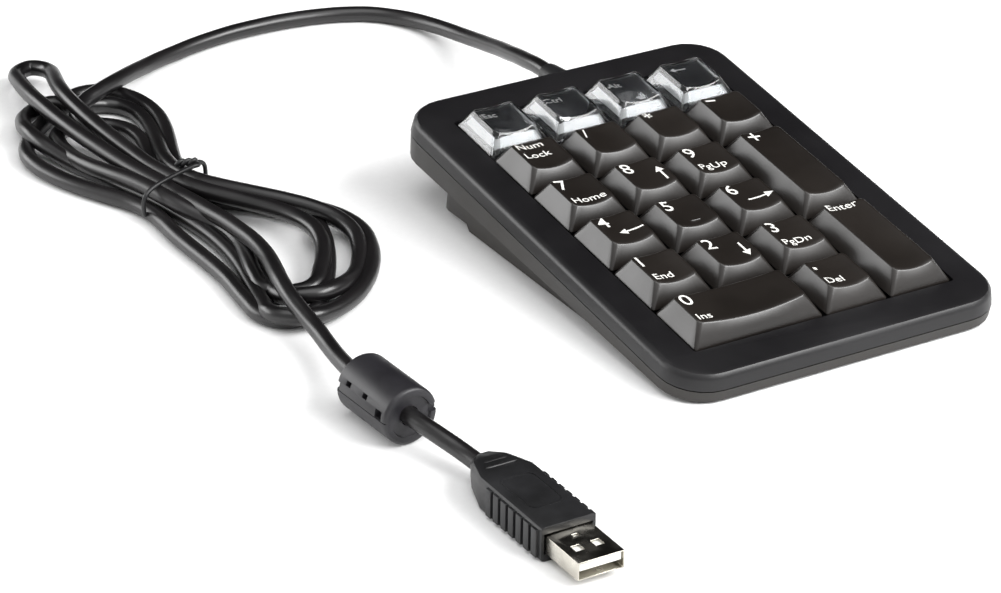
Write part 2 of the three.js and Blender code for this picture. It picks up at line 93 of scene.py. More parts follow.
def mouldedPlastic(look):
    # moulded or extruded plastic: fine texture from the tool, slow colour drift and uneven gloss
    material, shader = newMaterial(look["name"])
    where = addNode(material, "ShaderNodeTexCoord")
    grain = addNode(material, "ShaderNodeTexNoise",
                    {"Scale": 1000 / look["grainSize"], "Detail": 3, "Roughness": 0.6},
                    {"Vector": (where, "Object")})
    drift = addNode(material, "ShaderNodeTexNoise",
                    {"Scale": 1000 / look["driftSize"], "Detail": 4, "Roughness": 0.55},
                    {"Vector": (where, "Object")})
    tone = addNode(material, "ShaderNodeValToRGB", spread(linear(look["dark"]), linear(look["light"])),
                   {"Fac": (drift, "Fac")})
    gloss = addNode(material, "ShaderNodeValToRGB",
                    spread(grey(look["roughLow"]), grey(look["roughHigh"])), {"Fac": (drift, "Fac")})
    relief = addNode(material, "ShaderNodeBump",
                     {"Strength": look["grainStrength"], "Distance": look["grainDepth"] * mm},
                     {"Height": (grain, "Fac")})
    plug(material, tone, "Color", shader, "Base Color")
    plug(material, gloss, "Color", shader, "Roughness")
    plug(material, relief, "Normal", shader, "Normal")
    shader.inputs["IOR"].default_value = 1.5
    shader.inputs["Specular IOR Level"].default_value = look.get("specular", 0.5)
    return material


def show(piece, material, body, slotName=None, *nodes):
    piece.data.materials.clear()
    piece.data.materials.append(material)
    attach(piece, body)
    if nodes:
        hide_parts(*nodes)
    return piece


def addMesh(name, points, faces, smoothAngle=35):
    mesh = bpy.data.meshes.new(name)
    mesh.from_pydata([tuple(p) for p in points], [], faces)
    work = bmesh.new()
    work.from_mesh(mesh)
    bmesh.ops.recalc_face_normals(work, faces=work.faces)
    work.to_mesh(mesh)
    work.free()
    mesh.shade_smooth()
    mesh.set_sharp_from_angle(angle=math.radians(smoothAngle))
    piece = bpy.data.objects.new(name, mesh)
    bpy.context.scene.collection.objects.link(piece)
    return piece


def loftFaces(ringCount, ringSize, closeStart=True, closeEnd=True):
    # quads between rings of equal size, with a cap on either end
    faces = []
    for r in range(ringCount - 1):
        a, b = r * ringSize, (r + 1) * ringSize
        faces += [(a + i, a + (i + 1) % ringSize, b + (i + 1) % ringSize, b + i)
                  for i in range(ringSize)]
    if closeStart:
        faces.append(tuple(reversed(range(ringSize))))
    if closeEnd:
        faces.append(tuple(range((ringCount - 1) * ringSize, ringCount * ringSize)))
    return faces


def roundedRect(x0, x1, y0, y1, radius, steps=6, perSide=0):
    # corner arcs run counterclockwise from the right-front corner; perSide adds points along the sides
    points = []
    corners = [(x1 - radius, y0 + radius, -90), (x1 - radius, y1 - radius, 0),
               (x0 + radius, y1 - radius, 90), (x0 + radius, y0 + radius, 180)]
    for number, (cx, cy, start) in enumerate(corners):
        for i in range(steps + 1):
            angle = math.radians(start + 90 * i / steps)
            points.append((cx + radius * math.cos(angle), cy + radius * math.sin(angle)))
        if perSide:
            nx, ny, nextStart = corners[(number + 1) % 4]
            a = points[-1]
            turn = math.radians(nextStart)
            b = (nx + radius * math.cos(turn), ny + radius * math.sin(turn))
            for i in range(1, perSide + 1):
                t = i / (perSide + 1)
                points.append((a[0] + (b[0] - a[0]) * t, a[1] + (b[1] - a[1]) * t))
    return points


# camera
cameraView = {
    "place": (-0.529173, -0.773308, 0.471387),
    "right": (0.857103, -0.514957, 0.013947),
    "down": (-0.226013, -0.400233, -0.888106),
    "forward": (0.462918, 0.758046, -0.459428),
    "lens": 148.79, "sensor": 36, "near": 0.01, "far": 20,
}


def addCamera():
    camera = bpy.data.objects.new("camera", bpy.data.cameras.new("camera"))
    right, down, forward = (Vector(cameraView[k]) for k in ("right", "down", "forward"))
    turn = Matrix((right, -down, -forward)).transposed().to_4x4()
    camera.matrix_world = Matrix.Translation(cameraView["place"]) @ turn
    camera.data.lens = cameraView["lens"]
    camera.data.sensor_width = cameraView["sensor"]
    camera.data.clip_start = cameraView["near"]
    camera.data.clip_end = cameraView["far"]
    bpy.context.scene.collection.objects.link(camera)
    bpy.context.scene.camera = camera


addCamera()
print("camera set")

# cord
cordLook = {
    "diameter": 4.4,
    "jacket": {"name": "extruded_pvc_jacket", "dark": "#0e0d0e", "light": "#151314",
               "roughLow": 0.28, "roughHigh": 0.38, "grainSize": 0.8, "driftSize": 25,
               "grainStrength": 0.12, "grainDepth": 0.03, "specular": 0.62},
}
# from the end of the boot to the plug, in millimetres: strands traced by hand, then smoothed and
# resampled about 7 mm apart by a separate program
cordRoute = [
    (4, 69.1, 18.1), (3.9, 76, 19.3), (4.3, 82.9, 19), (5.1, 89.8, 17.7), (6.2, 96.5, 16.2),
    (7.4, 103.2, 14.4), (8.8, 109.8, 12.6), (10, 116.4, 10.7), (11.1, 123.1, 8.9), (11.9, 129.8, 7.2),
    (12.3, 136.6, 5.7), (12.2, 143.5, 4.5), (11.4, 150.4, 3.5), (9.6, 157.1, 2.8), (6.4, 163.3, 2.3),
    (1.7, 168.4, 2.2), (-4.4, 171.9, 2.2), (-11, 174.2, 2.2), (-17.9, 175.5, 2.3), (-24.8, 176.1, 2.4),
    (-31.8, 176.2, 2.4), (-38.8, 175.9, 2.4), (-45.8, 175, 2.3), (-52.6, 173.5, 2.3),
    (-59.2, 171.3, 2.4), (-65.6, 168.4, 2.9), (-71.6, 164.9, 3.6), (-77.1, 160.8, 4.8),
    (-82.5, 156.5, 6), (-88.1, 152.4, 6.9), (-94.2, 148.9, 7), (-100.2, 145.4, 6.6),
    (-104.6, 140.1, 6.5), (-105.6, 133.3, 5.8), (-103.9, 126.7, 4.1), (-102.4, 120, 2.7),
    (-101.9, 113.1, 2.2), (-102, 106.1, 2.2), (-102.2, 99.1, 2.2), (-101.9, 92.1, 2.2),
    (-100.6, 85.2, 2.4), (-98.9, 78.4, 2.4), (-97.2, 71.7, 2.4), (-96.3, 64.7, 2.3), (-96.8, 57.7, 2.2),
    (-98.4, 50.9, 2.2), (-100.5, 44.3, 2.2), (-102.6, 37.6, 2.5), (-104.2, 30.8, 3.2), (-104.8, 24, 4.3),
    (-101.6, 20, 5.3), (-97.1, 18.3, 5.7), (-91.7, 20, 5.2), (-86.4, 24.2, 3.6), (-81.5, 29.1, 2.5),
    (-77.3, 34.7, 2.4), (-74, 40.8, 3), (-72.2, 47.4, 4), (-73.2, 54.2, 5.1), (-76.5, 60.3, 6),
    (-80.7, 65.8, 6.6), (-85.1, 71.3, 6.9), (-89.3, 76.9, 7), (-92.9, 82.8, 6.8), (-95.6, 89.3, 6.4),
    (-96.6, 96.2, 5.8), (-95.9, 103.1, 5.1), (-94.3, 109.9, 4.3), (-92.1, 116.5, 3.6),
    (-89.9, 123.1, 2.9), (-88, 129.8, 2.4), (-86.7, 136.6, 2.2), (-86.9, 143.6, 2.2),
    (-90.2, 148.6, 2.4), (-96, 149.6, 3.4), (-102, 149.5, 4.5), (-106, 153, 4.6), (-110.1, 153.5, 3.7),
    (-114.1, 151.8, 3.1), (-117.3, 146.6, 3.8), (-119.1, 139.9, 4.9), (-119.1, 132.9, 4.8),
    (-117.2, 126.4, 3.5), (-114.8, 119.9, 2.3), (-112.7, 113.2, 2.2), (-110.8, 106.5, 2.2),
    (-109, 99.7, 2.2), (-107.3, 92.9, 2.3), (-105.8, 86.1, 2.4), (-104.5, 79.2, 2.4),
    (-103.6, 72.3, 2.4), (-103.1, 65.3, 2.4), (-103.1, 58.3, 2.3), (-103.7, 51.4, 2.2),
    (-105, 44.5, 2.2), (-106.7, 37.7, 2.2), (-108.4, 30.9, 2.4), (-110.1, 24.1, 3.1),
    (-111.4, 17.4, 4.1), (-108.7, 13.2, 4.5), (-104.5, 11, 4.4), (-98.4, 12.4, 3.5), (-92.2, 15.5, 2.8),
    (-86.4, 19.5, 2.4), (-81.4, 24.3, 2.2), (-76.9, 29.7, 2.2), (-73.2, 35.6, 2.2), (-70.3, 42, 2.2),
    (-68.5, 48.7, 2.3), (-68.6, 55.7, 2.3), (-70.8, 62.3, 2.4), (-74.6, 68.2, 2.4), (-79, 73.7, 2.4),
    (-83.5, 79, 2.3), (-87.9, 84.4, 2.3), (-91.4, 90.5, 2.3), (-93.1, 97.2, 2.3), (-92.6, 104.2, 2.3),
    (-90.8, 110.9, 2.3), (-88.4, 117.5, 2.3), (-85.9, 124, 2.3), (-83.7, 130.7, 2.3),
    (-82.3, 137.5, 2.3), (-82.2, 144.5, 2.3), (-83.9, 151.3, 2.3), (-87.7, 157.1, 2.3),
    (-94, 159.4, 2.3), (-100.3, 156.4, 2.3), (-105.8, 152, 2.3), (-111, 147.4, 2.3),
    (-116.1, 142.6, 2.3), (-120.5, 137.2, 2.3), (-123.4, 130.8, 2.3), (-123.9, 123.9, 2.3),
    (-122.7, 117, 2.3), (-120.6, 110.3, 2.3), (-117.9, 103.9, 2.3), (-114.8, 97.6, 2.3),
    (-111.8, 91.3, 2.3), (-110.3, 84.5, 2.3), (-110.3, 77.5, 2.3), (-110.7, 70.5, 2.3),
    (-110.7, 63.5, 2.3), (-110.5, 56.5, 2.3), (-110.4, 49.5, 2.3), (-110.6, 42.5, 2.3),
    (-111.4, 35.6, 2.3), (-112.2, 28.6, 2.3), (-112.4, 21.6, 2.3), (-109.7, 16.6, 2.3),
    (-105.6, 14.8, 2.3), (-100.5, 16, 2.3), (-95.9, 21.3, 2.3), (-91.6, 26.8, 2.3), (-87.7, 32.6, 2.3),
    (-84.2, 38.7, 2.3), (-81.1, 44.9, 2.3), (-78.4, 51.4, 2.3), (-76.7, 58.2, 2.3), (-77.1, 65.1, 2.3),
    (-80.4, 71.2, 2.3), (-85.2, 76.3, 2.3), (-90.3, 81.1, 2.3), (-95, 86.3, 2.3), (-98, 92.6, 2.3),
    (-98.9, 99.5, 2.3), (-98.2, 106.4, 2.3), (-96.5, 113.2, 2.3), (-94.4, 119.9, 2.3),
    (-93.1, 126.8, 2.3), (-94.1, 133.6, 2.3), (-98.7, 138.8, 2.3), (-105.1, 141.5, 2.3),
    (-111, 138.6, 2.4), (-113.5, 132.1, 2.7), (-114.4, 125.2, 3.2), (-114.4, 118.2, 3.9),
    (-113.7, 111.3, 4.8), (-112.3, 104.5, 5.7), (-110.6, 97.8, 6.4), (-108.9, 91, 6.8),
    (-107.3, 84.2, 6.6), (-105.2, 77.6, 5.8), (-102.1, 71.5, 4.4), (-99.7, 65, 3.4), (-99.7, 58, 3.3),
    (-101.2, 51.2, 3.7), (-103.3, 44.6, 3.9), (-105.2, 37.8, 3.6), (-105.8, 31.6, 3.1),
    (-103, 28.4, 2.8), (-99.3, 26.6, 2.8), (-94.5, 27.1, 3.2), (-89.8, 32.1, 4.1), (-85.9, 37.9, 5),
    (-83.2, 44.3, 5.9), (-82.3, 51.1, 6.4), (-83.7, 58, 6.6), (-86.5, 64.4, 6.6), (-89.9, 70.5, 6.6),
    (-93.5, 76.5, 6.6), (-96.8, 82.7, 6.5), (-99.4, 89.2, 6.5), (-101.1, 95.9, 6.6),
    (-102.3, 102.8, 6.7), (-103, 109.8, 7), (-103.7, 116.8, 7.4), (-104.3, 123.7, 7.9),
    (-104.8, 130.7, 8.5), (-105, 137.6, 8.9), (-104.7, 144.6, 9), (-103.6, 151.5, 8.7),
    (-101.8, 158.2, 7.8), (-99.6, 164.8, 6.6), (-97.9, 171.4, 5.2), (-99, 175.5, 4.7),
    (-100.9, 177.4, 4.4), (-103.5, 176.7, 4.5), (-106.4, 174.1, 4.9), (-108.5, 167.4, 5.8),
    (-109.9, 160.6, 6.6), (-110.8, 153.7, 7.2), (-111.2, 146.7, 7.6), (-111.3, 139.7, 7.7),
    (-111, 132.8, 7.7), (-110.4, 125.8, 7.5), (-109.5, 118.8, 7.3), (-108.5, 111.9, 7),
    (-107.3, 105, 6.7), (-106, 98.2, 6.5), (-104.6, 91.3, 6.4), (-103.3, 84.4, 6.3), (-102, 77.5, 6.4),
    (-101, 70.6, 6.5), (-100.2, 63.7, 6.8), (-99.9, 56.7, 7.1), (-100, 49.7, 7.5), (-100.8, 42.8, 8),
    (-102.2, 36, 8.5), (-104.2, 29.2, 9), (-106.1, 22.5, 9.1), (-107.2, 15.7, 8.4), (-107.3, 8.8, 6.9),
    (-107.4, 2, 5.7), (-108.4, -5, 5.4), (-109.7, -11.8, 5.8), (-111, -18.7, 6.6), (-111.9, -25.6, 7.3),
    (-112.4, -32.5, 7.9), (-112.4, -39.5, 8.2), (-111.8, -46.5, 8.1), (-110.6, -53.4, 7.6),
    (-108.8, -60, 6.6), (-106.7, -66.6, 5.2), (-105.5, -73.4, 4.4),
]


def routeLength(points):
    return sum((Vector(b) - Vector(a)).length for a, b in zip(points, points[1:]))


def addCord():
    curve = bpy.data.curves.new("cord", "CURVE")
    curve.dimensions = "3D"
    curve.bevel_depth = cordLook["diameter"] * mm / 2
    curve.bevel_resolution = 5
    curve.resolution_u = 4
    curve.use_fill_caps = True
    spline = curve.splines.new("BEZIER")
    spline.bezier_points.add(len(cordRoute) - 1)
    for point, place in zip(spline.bezier_points, cordRoute):
        point.co = Vector(place) * mm
        point.handle_left_type = point.handle_right_type = "AUTO"
    cord = bpy.data.objects.new("cord", curve)
    bpy.context.scene.collection.objects.link(cord)
    # flexible PVC jacket: soft satin streaks of light along each strand
    material = mouldedPlastic(cordLook["jacket"])
    return show(cord, material, "case", "cord_jacket", "cable_lead", "cable_bundle", "cable_tail")


cord = addCord()
print("cord laid", round(routeLength(cordRoute)), "mm")

# keycaps
keySize = {
    "pitch": 19.05, "gap": 0.85, "fieldFront": 11.27,
    "base": -0.5, "top": 4.6,
    "side": 3.3, "front": 4.25, "rear": 2.12,
    "cornerBase": 0.9, "cornerTop": 1.5,
    "edge": 0.32, "edgeInset": 1.25, "edgeAngles": (22, 45, 68, 90),
    "chamfer": 0.15, "leastCorner": 0.25, "cornerSteps": 6, "sideSteps": 9,
    # rings from the rim to the middle of the dish, as shares of the rim
    "dishRings": (0.95, 0.86, 0.76, 0.66, 0.56, 0.46, 0.36, 0.26, 0.16, 0.06),
    "wall": 1.2, "ceiling": 2.5,
    "coverWall": 1.0, "coverCeiling": 2.8,
    "sag": 0.8, "wideSag": 1.0,
}
keyTable = [
    ("esc", 0, 0, 1, 1), ("ctrl", 1, 0, 1, 1), ("alt", 2, 0, 1, 1), ("backspace", 3, 0, 1, 1),
    ("num_lock", 0, 1, 1, 1), ("divide", 1, 1, 1, 1), ("multiply", 2, 1, 1, 1), ("minus", 3, 1, 1, 1),
    ("7", 0, 2, 1, 1), ("8", 1, 2, 1, 1), ("9", 2, 2, 1, 1), ("plus", 3, 2, 1, 2),
    ("4", 0, 3, 1, 1), ("5", 1, 3, 1, 1), ("6", 2, 3, 1, 1),
    ("1", 0, 4, 1, 1), ("2", 1, 4, 1, 1), ("3", 2, 4, 1, 1), ("enter", 3, 4, 1, 2),
    ("0", 0, 5, 2, 1), ("decimal", 2, 5, 1, 1),
]


def keyCentre(column, row, width, depth):
    pitch = keySize["pitch"]
    return (column + width / 2 - 2) * pitch, keySize["fieldFront"] + (6 - row - depth / 2) * pitch


def halfBase(units):
    return (units * keySize["pitch"] - keySize["gap"]) / 2


def dishHeight(x, width):
    # the top is a shallow trough along y, deepest along the key's middle line
    half = halfBase(width) - keySize["side"]
    sag = keySize["wideSag"] if width > 1 else keySize["sag"]
    return keySize["top"] - sag * max(0, 1 - (x / half) ** 2)


def keyRing(width, depth, z, inset=0):
    # outline of the key's outer wall at a height, moved in by inset
    t = (z - keySize["base"]) / (keySize["top"] - keySize["base"])
    hx, hy = halfBase(width), halfBase(depth)
    corner = keySize["cornerBase"] + (keySize["cornerTop"] - keySize["cornerBase"]) * t
    return roundedRect(-hx + keySize["side"] * t + inset, hx - keySize["side"] * t - inset,
                       -hy + keySize["front"] * t + inset, hy - keySize["rear"] * t - inset,
                       max(keySize["leastCorner"], corner - inset),
                       keySize["cornerSteps"], keySize["sideSteps"])


def keyMesh(width, depth, wall, ceiling):
    # a closed shell: inside from the ceiling down, outside up, the rounded edge, then the dished top
    edge, base, chamfer = keySize["edge"], keySize["base"], keySize["chamfer"]
    rings = []
    rings.append([(x, y, ceiling) for x, y in keyRing(width, depth, ceiling, wall)])
    rings.append([(x, y, base) for x, y in keyRing(width, depth, base, wall)])
    rings.append([(x, y, base) for x, y in keyRing(width, depth, base, chamfer)])
    rings.append([(x, y, base + chamfer) for x, y in keyRing(width, depth, base + chamfer)])
    rim = keyRing(width, depth, keySize["top"])
    under = []
    for (x, y), (bx, by) in zip(rim, keyRing(width, depth, base)):
        drop = dishHeight(x, width) - edge
        t = (drop - base) / (keySize["top"] - base)
        under.append((bx + (x - bx) * t, by + (y - by) * t, drop))
    rings.append(under)
    for degrees in keySize["edgeAngles"]:
        a = math.radians(degrees)
        inner = keyRing(width, depth, keySize["top"], edge * keySize["edgeInset"])
        share = 1 - math.cos(a)
        ring = []
        for (ux, uy, uz), (ix, iy) in zip(under, inner):
            x, y = ux + (ix - ux) * share, uy + (iy - uy) * share
            z = uz + (dishHeight(ix, width) - uz) * math.sin(a)
            ring.append((x, y, z))
        rings.append(ring)
    flat = rings[-1]
    for share in keySize["dishRings"]:
        cy = sum(p[1] for p in flat) / len(flat)
        ring = [(x * share, cy + (y - cy) * share) for x, y, z in flat]
        rings.append([(x, y, dishHeight(x, width)) for x, y in ring])
    size = len(rim)
    return [p for ring in rings for p in ring], loftFaces(len(rings), size)


def addKey(name, key, wall, ceiling):
    label, column, row, width, depth = key
    cx, cy = keyCentre(column, row, width, depth)
    points, faces = keyMesh(width, depth, wall, ceiling)
    return addMesh(name, [onCase(cx + x, cy + y, z) for x, y, z in points], faces, 50)


capLook = {"name": "moulded_abs_keycap", "dark": "#15110e", "light": "#1b1612",
           "roughLow": 0.34, "roughHigh": 0.42, "specular": 0.8,
           "grainSize": 0.35, "driftSize": 30, "grainStrength": 0.10, "grainDepth": 0.02}
# keycap ABS: satin, faintly brown, with a broad soft sheen on the sloping fronts
capPlastic = mouldedPlastic(capLook)
coverLook = {"tint": "#eceef0", "rough": 0.06, "scuffRough": 0.08, "scuffSize": 3}


def clearPlastic():
    # polished clear polycarbonate: glassy tops and bright edges with faint handling marks
    material, shader = newMaterial("polished_clear_polycarbonate")
    where = addNode(material, "ShaderNodeTexCoord")
    scuffs = addNode(material, "ShaderNodeTexNoise",
                     {"Scale": 1000 / coverLook["scuffSize"], "Detail": 6},
                     {"Vector": (where, "Object")})
    smooth = coverLook["rough"]
    gloss = addNode(material, "ShaderNodeValToRGB",
                    spread(grey(smooth), grey(smooth + coverLook["scuffRough"])),
                    {"Fac": (scuffs, "Fac")})
    plug(material, gloss, "Color", shader, "Roughness")
    shader.inputs["Base Color"].default_value = linear(coverLook["tint"])
    shader.inputs["Transmission Weight"].default_value = 1
    shader.inputs["IOR"].default_value = 1.58
    return material


coverMaterial = clearPlastic()
for key in keyTable:
    if key[2] == 0:
        piece = addKey("clear_cover_" + key[0], key, keySize["coverWall"], keySize["coverCeiling"])
        show(piece, coverMaterial, "key_" + key[0], "clear_cover", "cover_" + key[0])
    else:
        piece = addKey("cap_" + key[0], key, keySize["wall"], keySize["ceiling"])
        show(piece, capPlastic, "key_" + key[0], "keycap_plastic", "keycap_" + key[0])
print("keycaps built")

# homing bar
barLook = {"length": 3.2, "radius": 0.32, "y": -3.2, "steps": 10, "around": 12, "endSquare": 0.04}


def addHomingBar():
    cx, cy = keyCentre(1, 3, 1, 1)
    rings = []
    steps, around = barLook["steps"], barLook["around"]
    for i in range(steps + 1):
        along = -1 + 2 * i / steps
        x = along * barLook["length"] / 2
        radius = barLook["radius"] * math.sqrt(max(barLook["endSquare"], 1 - abs(along) ** 6))
        rings.append([onCase(cx + x, cy + barLook["y"] + radius * math.cos(a),
                             dishHeight(x, 1) + radius * math.sin(a))
                      for a in (2 * math.pi * k / around for k in range(around))])
    return addMesh("homing_bar", [p for r in rings for p in r], loftFaces(len(rings), around), 60)


show(addHomingBar(), capPlastic, "key_5", "keycap_plastic")

# legends
legendLook = {"ink": "#f0efeb", "inkShade": "#dcdbd6", "film": 0.03, "bold": 0.008, "capRatio": 0.73,
              "stretch": 1.12, "arrowHead": 2.1, "coverSize": 0.7143}
# name, text, left edge, middle line and capital height in millimetres from the key's middle
legendTable = [
    ("num_lock", "Num", -4.9, 5.4, 2.5), ("num_lock", "Lock", -4.9, 1.0, 2.5),
    ("divide", "/", -5.0, 4.6, 4.0), ("multiply", "*", -4.8, 5.0, 4.2),
    ("7", "7", -5.0, 4.8, 4.5), ("8", "8", -5.0, 4.8, 4.5), ("9", "9", -5.0, 4.8, 4.5),
    ("4", "4", -5.0, 4.8, 4.5), ("5", "5", -5.0, 4.8, 4.5), ("6", "6", -5.0, 4.8, 4.5),
    ("1", "1", -5.0, 4.8, 4.5), ("2", "2", -5.0, 4.8, 4.5), ("3", "3", -5.0, 4.8, 4.5),
    ("7", "Home", -4.9, -2.8, 2.5), ("9", "PgUp", -4.9, -2.2, 2.5),
    ("1", "End", -4.9, -2.3, 2.5), ("3", "PgDn", -5.1, -2.2, 2.5),
    ("enter", "Enter", -5.3, 15.7, 2.7), ("0", "0", -14.4, 5.1, 4.5), ("0", "Ins", -14.4, -2.5, 2.5),
    ("decimal", "Del", -5.2, -1.9, 2.5),
]
labelTable = [
    ("esc", "Esc", -4.7, 3.9, 2.2), ("ctrl", "Ctrl", -5.3, 3.9, 2.2), ("alt", "Alt", -5.1, 3.9, 2.2),
]
# bars and arrows on the key's top, in millimetres from the key's middle: a bar's left end, height and
# right end; a plus or dot's place and size; an arrow's line and ends, up and down, or its ends either
# side of its height; then the stroke
shapeTable = [
    ("minus", "bar", -4.8, 5.5, -1.75, 0.62),
    ("plus", "plus", -2.6, 14.5, 3.7, 0.66),
    ("decimal", "dot", -4.6, 3.6, 1.0, 0),
    ("8", "up", 4.0, 2.7, -3.3, 0.5), ("2", "down", 3.6, 2.4, -3.4, 0.5),
    ("4", "left", -1.6, -0.6, 5.2, 0.5), ("6", "right", -1.6, -0.6, 5.7, 0.5),
]
keyByName = {key[0]: key for key in keyTable}


def inkMaterial():
    # pad-printed ink: off-white with slightly uneven cover
    material, shader = newMaterial("printed_white_ink")
    where = addNode(material, "ShaderNodeTexCoord")
    cover = addNode(material, "ShaderNodeTexNoise",
                    {"Scale": 1000 / legendLook["coverSize"], "Detail": 3},
                    {"Vector": (where, "Object")})
    tone = addNode(material, "ShaderNodeValToRGB",
                   spread(linear(legendLook["inkShade"]), linear(legendLook["ink"])),
                   {"Fac": (cover, "Fac")})
    plug(material, tone, "Color", shader, "Base Color")
    shader.inputs["Roughness"].default_value = 0.5
    return material


ink = inkMaterial()


def textMesh(text, height):
    # letters as a thin closed solid; returns points in millimetres from the left edge and middle line
    curve = bpy.data.curves.new("letters", "FONT")
    curve.body = text
    curve.size = height / legendLook["capRatio"]
    curve.offset = legendLook["bold"] * height / 2.5
    curve.extrude = legendLook["film"]
    curve.resolution_u = 6
    holder = bpy.data.objects.new("letters", curve)
    bpy.context.scene.collection.objects.link(holder)
    bpy.context.view_layer.update()
    made = bpy.data.meshes.new_from_object(holder.evaluated_get(bpy.context.evaluated_depsgraph_get()))
    points = [tuple(v.co) for v in made.vertices]
    faces = [tuple(p.vertices) for p in made.polygons]
    bpy.data.objects.remove(holder)
    bpy.data.curves.remove(curve)
    bpy.data.meshes.remove(made)
    left = min(p[0] for p in points)
    return [((x - left) * legendLook["stretch"], y - height / 2, z) for x, y, z in points], faces


def addPrint(name, key, points, faces, flatHeight=None):
    # wraps thin artwork on the key's dished top, or lays it on a flat label
    label, column, row, width, depth = key
    cx, cy = keyCentre(column, row, width, depth)
    placed = []
    for x, y, z in points:
        ground = dishHeight(x, width) if flatHeight is None else flatHeight
        placed.append(onCase(cx + x, cy + y, ground + z))
    piece = addMesh(name, placed, faces, 20)
    return show(piece, ink, "key_" + label, "keycap_plastic")


def outlineSolid(outline, pieces):
    # thin closed solid over a strip of quads given as pairs of points
    film = legendLook["film"]
    points = [(x, y, z) for z in (-film, film) for x, y in outline]
    count = len(outline)
    faces = []
    for quad in pieces:
        faces.append(tuple(count + i for i in quad))
        faces.append(tuple(reversed(quad)))
    edges = {}
    for quad in pieces:
        for a, b in zip(quad, quad[1:] + quad[:1]):
            edges[(a, b)] = True
    for a, b in edges:
        if (b, a) not in edges:
            faces.append((a, b, count + b, count + a))
    return points, faces


def barShape(x0, x1, y0, y1, steps=6):
    outline, pieces = [], []
    for i in range(steps + 1):
        x = x0 + (x1 - x0) * i / steps
        outline += [(x, y0), (x, y1)]
    for i in range(steps):
        pieces.append((2 * i, 2 * i + 2, 2 * i + 3, 2 * i + 1))
    return outline, pieces


def arrowShape(tail, head, middle, stroke, headSize):
    # a shaft with a solid head, along x; the caller turns it where the arrow points up or down
    sign = 1 if head > tail else -1
    neck = head - sign * headSize
    outline, pieces = barShape(tail, neck, middle - stroke / 2, middle + stroke / 2)
    start = len(outline)
    outline += [(neck, middle - headSize * 0.55), (head, middle), (neck, middle + headSize * 0.55)]
    low, high = start - 2, start - 1
    pieces += [(start, start + 1, low), (low, start + 1, high), (high, start + 1, start + 2)]
    if sign < 0:
        pieces = [tuple(reversed(q)) for q in pieces]
    return outline, pieces


def addShape(row):
    name, kind, a, b, c, stroke = row
    key = keyByName[name]
    if kind == "bar":
        outline, pieces = barShape(a, c, b - stroke / 2, b + stroke / 2)
    elif kind == "dot":
        outline, pieces = barShape(a - c / 2, a + c / 2, b - c / 2, b + c / 2, 2)
    elif kind == "plus":
        s, h = stroke / 2, c / 2
        outline = [(a - s, b - h), (a + s, b - h), (a + s, b - s), (a + h, b - s), (a + h, b + s),
                   (a + s, b + s), (a + s, b + h), (a - s, b + h), (a - s, b + s), (a - h, b + s),
                   (a - h, b - s), (a - s, b - s)]
        pieces = [(0, 1, 2, 11), (11, 2, 5, 8), (2, 3, 4, 5), (8, 5, 6, 7), (10, 11, 8, 9)]
    elif kind in ("left", "right"):
        tail, head = (a, c) if kind == "right" else (c, a)
        outline, pieces = arrowShape(tail, head, b, stroke, legendLook["arrowHead"])
    else:
        low, high = min(b, c), max(b, c)
        tail, head = (low, high) if kind == "up" else (high, low)
        outline, pieces = arrowShape(tail, head, a, stroke, legendLook["arrowHead"])
        outline = [(y, x) for x, y in outline]
        pieces = [tuple(reversed(q)) for q in pieces]
    points, faces = outlineSolid(outline, pieces)
    addPrint("print_%s_%s" % (name, kind), key, points, faces)


for number, (name, text, left, middle, height) in enumerate(legendTable):
    points, faces = textMesh(text, height)
    points = [(x + left, y + middle, z) for x, y, z in points]
    addPrint("print_%s_%d" % (name, number), keyByName[name], points, faces)
for row in shapeTable:
    addShape(row)
print("legends printed")

# labels under the clear covers
labelLook = {"paper": "#2b2b2d", "paperShade": "#242426", "fibreSize": 1.1111,
             "height": 2.5, "thickness": 0.12, "gap": 0.32, "printRise": 0.02,
             # the arrow's tail, tip, height above the key's middle, stroke and head
             "arrow": (0.6, -4.6, 4.2, 0.4, 1.8)}


def labelPaper():
    # coated label paper: dark, with a faint fibre
    material, shader = newMaterial("coated_label_paper")
    where = addNode(material, "ShaderNodeTexCoord")
    fibre = addNode(material, "ShaderNodeTexNoise",
                    {"Scale": 1000 / labelLook["fibreSize"], "Detail": 5, "Distortion": 0.6},
                    {"Vector": (where, "Object")})
    tone = addNode(material, "ShaderNodeValToRGB",
                   spread(linear(labelLook["paperShade"]), linear(labelLook["paper"])),
                   {"Fac": (fibre, "Fac")})
    plug(material, tone, "Color", shader, "Base Color")
    shader.inputs["Roughness"].default_value = 0.55
    return material


paper = labelPaper()


def addLabel(key):
    cx, cy = keyCentre(*key[1:])
    bottom, top = labelLook["height"], labelLook["height"] + labelLook["thickness"]
    ring = keyRing(1, 1, bottom, keySize["coverWall"] + labelLook["gap"])
    points = [onCase(cx + x, cy + y, z) for z in (bottom, top) for x, y in ring]
    piece = addMesh("label_" + key[0], points, loftFaces(2, len(ring)), 30)
    show(piece, paper, "key_" + key[0], "insert_plastic")


for key in keyTable[:4]:
    addLabel(key)
printHeight = labelLook["height"] + labelLook["thickness"] + labelLook["printRise"]
for name, text, left, middle, height in labelTable:
    points, faces = textMesh(text, height)
    points = [(x + left, y + middle, z) for x, y, z in points]
    addPrint("print_" + name, keyByName[name], points, faces, printHeight)
outline, pieces = arrowShape(*labelLook["arrow"])
points, faces = outlineSolid(outline, pieces)
addPrint("print_backspace", keyByName["backspace"], points, faces, printHeight)
print("labels laid")

